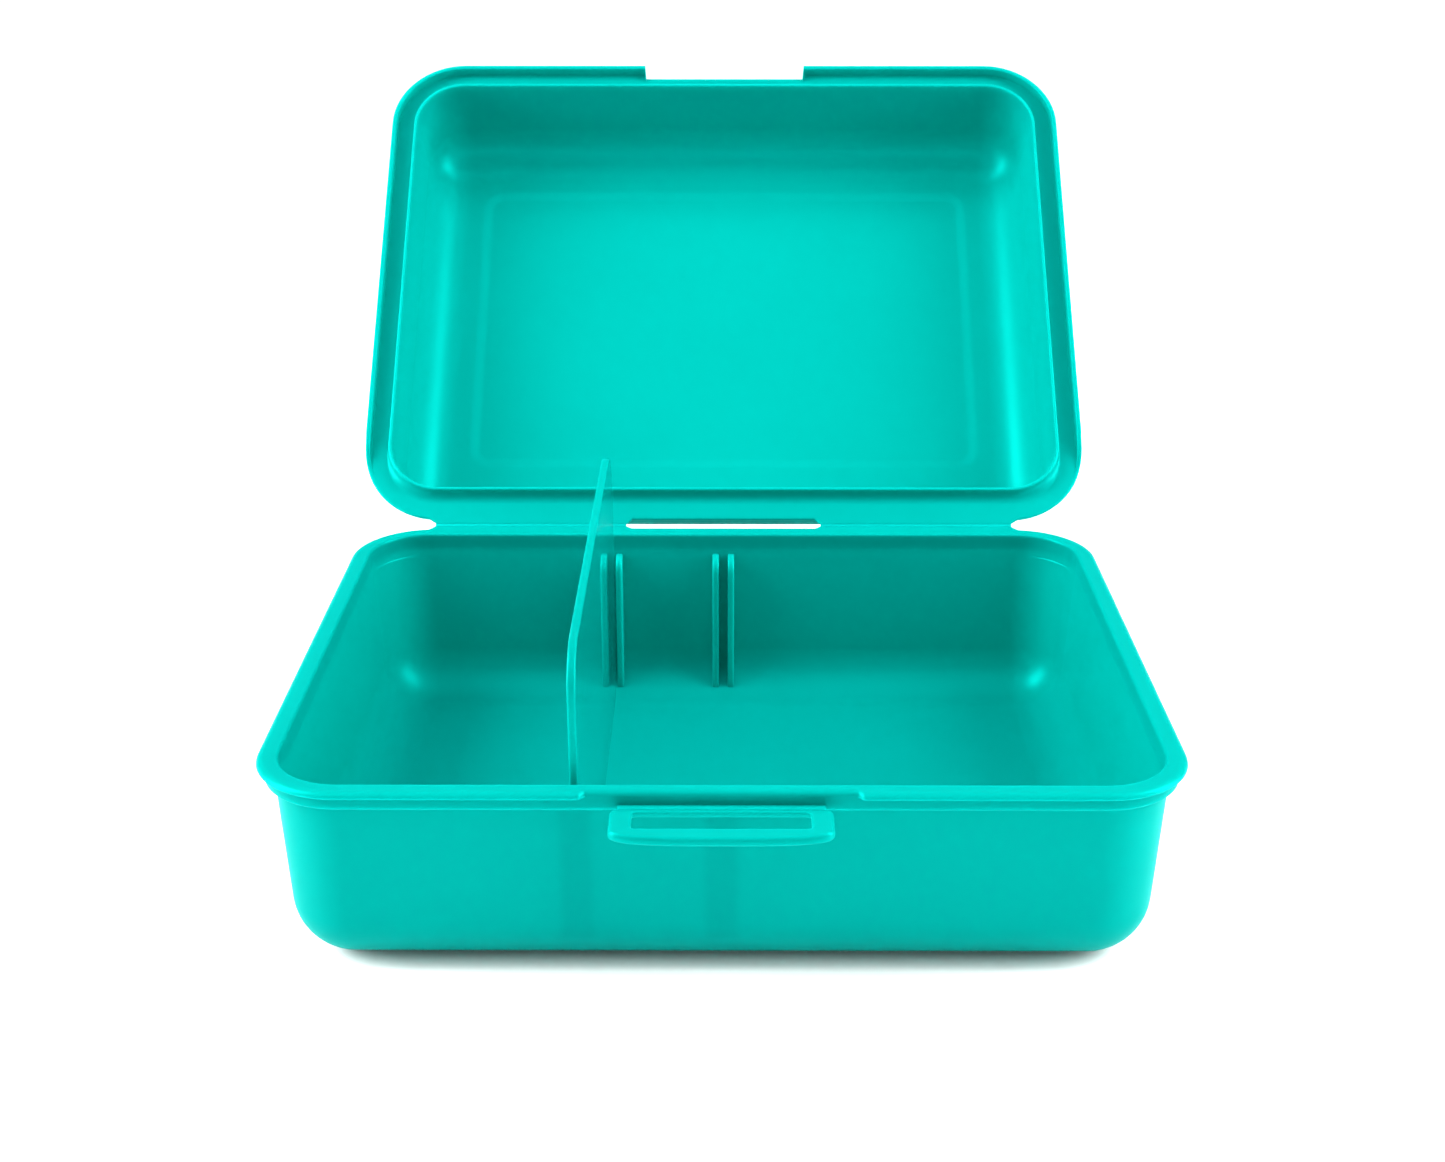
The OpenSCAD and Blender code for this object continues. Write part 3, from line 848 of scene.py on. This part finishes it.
def window_outline():
    """The window's plan as four lines that answer the outline's."""
    h, y0, y1, r = WINDOW_HALF, WINDOW_Y0, WINDOW_Y1, WINDOW_R

    def corner(cx, cy, a0, a1):
        return arc(cx, cy, r, a0, a1, 3)

    front = corner(-h + r, y1 + r, 225, 270) + corner(h - r, y1 + r, 270, 315)
    right = corner(h - r, y1 + r, 315, 360) + corner(h - r, y0 - r, 0, 45)
    back = corner(h - r, y0 - r, 45, 90) + corner(-h + r, y0 - r, 90, 135)
    left = corner(-h + r, y0 - r, 135, 180) + corner(-h + r, y1 + r, 180, 225)
    return front, right, back, left


def make_clip():
    outer = [p for line, n in zip(clip_outline(), CLIP_COUNTS) for p in along(line, n)]
    inner = [p for line, n in zip(window_outline(), CLIP_COUNTS) for p in along(line, n)]
    rings = []
    for d, h in edge_steps(CLIP_UNDER, CLIP_TOP, CLIP_SOFT_LOW, CLIP_SOFT, 5):
        share = (CLIP_TOP - h) / (CLIP_TOP - CLIP_UNDER)
        rings.append([(x, y, h - CLIP_LIP * share * ease((CLIP_BACK - 1 - y) / CLIP_LIP_RUN))
                      for x, y in inset(outer, d)])
    for t in (0.35, 0.7):       # supports between the outline and the window
        pairs = zip(inset(outer, CLIP_SOFT), inset(inner, -WINDOW_SOFT))
        rings.append([(p[0] + (q[0] - p[0]) * t, p[1] + (q[1] - p[1]) * t, CLIP_TOP)
                      for p, q in pairs])
    for d, h in reversed(edge_steps(CLIP_UNDER, CLIP_TOP, CLIP_SOFT_LOW, WINDOW_SOFT, 5)):
        rings.append([(x, y, h) for x, y in inset(inner, -d)])
    obj = loft("clip_tab", rings, CLIP_PLASTIC, loop=True)
    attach(obj, "clip")
    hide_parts("clip_plate")


def make_clip_film():
    face = -HALF_D + STEP_IN
    upper = [(face + 0.4, CLIP_TOP - 0.02), (face - 0.3, CLIP_TOP - 0.02),
             (CLIP_Y + 0.35, CLIP_TOP - 0.05)]
    upper += [(CLIP_Y + y, CLIP_Z + z) for y, z in CLIP_FILM_UPPER]
    lower = [(face + 0.4, CLIP_Z - 0.14), (face - 0.3, CLIP_Z - 0.2)]
    lower += [(CLIP_Y + y, CLIP_Z + z) for y, z in CLIP_FILM_LOWER]
    half = CLIP_FILM_HALF - 0.3
    obj = ribbon("film_strap_clip", upper, lower, -half, half, FILM_PLASTIC)
    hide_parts("clip_film", "clip_hinge_leaf")
    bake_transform(obj)


make_clip()
make_clip_film()


# ---- divider ----

DIVIDER_FOOT, DIVIDER_NECK = 61.4, 58.6     # half lengths low down, and above the ribs
DIVIDER_FRONT, DIVIDER_BACK = -61.6, 61.2   # its ends between the ribs
DIVIDER_R_FRONT, DIVIDER_R_BACK = 10.0, 13.0    # its upper corners
DIVIDER_SOFT, DIVIDER_SUPPORT = 0.45, 0.05


def divider_outline():
    low, top = DIV_LOW[2], DIV_HIGH[2]
    foot, neck, back = DIVIDER_FOOT, DIVIDER_NECK, DIVIDER_BACK
    r, rf, rb = FLOOR_IN_R, DIVIDER_R_FRONT, DIVIDER_R_BACK
    return (arc(-foot + r, low + r, r, 180, 270, 12) + arc(foot - r, low + r, r, 270, 360, 12)
            + [(back, 32.6), (back - 0.25, 33.4), (neck + 0.3, 38.4), (neck, 39.4)]
            + arc(neck - rb, top - rb, rb, 0, 90, 12)
            + arc(DIVIDER_FRONT + rf, top - rf, rf, 90, 180, 12)
            + [(DIVIDER_FRONT, 39)])


def make_divider():
    """A clear sheet: its faces, back end and foot are drawn clearer than its other edges."""
    low, high = DIV_LOW[0], DIV_HIGH[0]
    rings = plate_rings(divider_outline(), low, high, DIVIDER_SOFT, DIVIDER_SUPPORT)
    obj = loft("divider_sheet", rings, DIVIDER_EDGE)
    obj.data.materials.append(DIVIDER_PLASTIC)
    for p in obj.data.polygons:
        if abs(p.normal.x) > 0.98 or p.normal.y > 0.5 or p.normal.z < -0.3:
            p.material_index = 1
    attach(obj, "divider")
    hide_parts("divider_panel")


make_divider()


# ---- stage, light, camera ----

WORLD_STRENGTH = 0.16
SUN_STRENGTH, SUN_SPREAD = 2.75, radians(105)
SUN_TILT = (radians(-5), radians(-2), 0)
AREA_LIGHTS = (                 # name, place, target, size, power, seen in reflections
    ("left_strip", (-0.75, -0.05, 0.45), (0, 0.05, 0.05), (0.35, 0.9), 22, True),
    ("right_strip", (0.75, -0.05, 0.45), (0, 0.05, 0.05), (0.35, 0.9), 19, True),
    ("back_fill", (0, 0.8, 0.4), (0, 0.16, 0), (1.0, 0.3), 1.5, False),
    ("front_fill", (0, -1.2, 0.35), (0, 0, 0.04), (1.2, 0.4), 1.6, False),
)
# the camera, fitted to the rim, the lid and the floor in the photo
CAMERA_LENS = 48.24
CAMERA_X, CAMERA_Y = 0.00117, -0.3782
CAMERA_ABOVE = 171.7            # millimetres above the rim
CAMERA_DOWN, CAMERA_PAN = 22.63, 0.178      # degrees


def make_stage():
    bpy.ops.mesh.primitive_plane_add(size=8)
    floor = bpy.context.object
    floor.name = "studio_floor"
    mat = bpy.data.materials.new("studio_floor_white")
    mat.use_nodes = True
    bsdf = mat.node_tree.nodes["Principled BSDF"]
    bsdf.inputs["Base Color"].default_value = (0.96, 0.96, 0.96, 1)
    bsdf.inputs["Roughness"].default_value = 0.9
    bsdf.inputs["Specular IOR Level"].default_value = 0.0
    floor.data.materials.append(mat)


def area_light(name, at, target, size, power, glossy):
    data = bpy.data.lights.new(name, "AREA")
    data.shape = "RECTANGLE"
    data.size, data.size_y = size
    data.energy = power
    obj = bpy.data.objects.new(name, data)
    obj.location = at
    obj.visible_glossy = glossy
    aim = Vector(target) - Vector(at)
    obj.rotation_euler = aim.to_track_quat("-Z", "Y").to_euler()
    bpy.context.scene.collection.objects.link(obj)


def make_lights():
    world = bpy.data.worlds.new("studio_air")
    bpy.context.scene.world = world
    world.use_nodes = True
    background = world.node_tree.nodes["Background"]
    background.inputs["Color"].default_value = (1, 1, 1, 1)
    background.inputs["Strength"].default_value = WORLD_STRENGTH
    sun = bpy.data.lights.new("overhead_soft", "SUN")
    sun.energy = SUN_STRENGTH
    sun.angle = SUN_SPREAD
    lamp = bpy.data.objects.new("overhead_soft", sun)
    lamp.rotation_euler = SUN_TILT
    bpy.context.scene.collection.objects.link(lamp)
    for light in AREA_LIGHTS:
        area_light(*light)


def make_camera():
    data = bpy.data.cameras.new("camera")
    data.sensor_width = 36
    data.lens = CAMERA_LENS
    data.clip_start = 0.01
    cam = bpy.data.objects.new("camera", data)
    cam.location = (CAMERA_X, CAMERA_Y, (TOP + CAMERA_ABOVE) * MM)
    cam.rotation_euler = (radians(90 - CAMERA_DOWN), 0, radians(CAMERA_PAN))
    bpy.context.scene.collection.objects.link(cam)
    bpy.context.scene.camera = cam
    bpy.context.scene.view_settings.view_transform = "Standard"


make_stage()
make_lights()
make_camera()
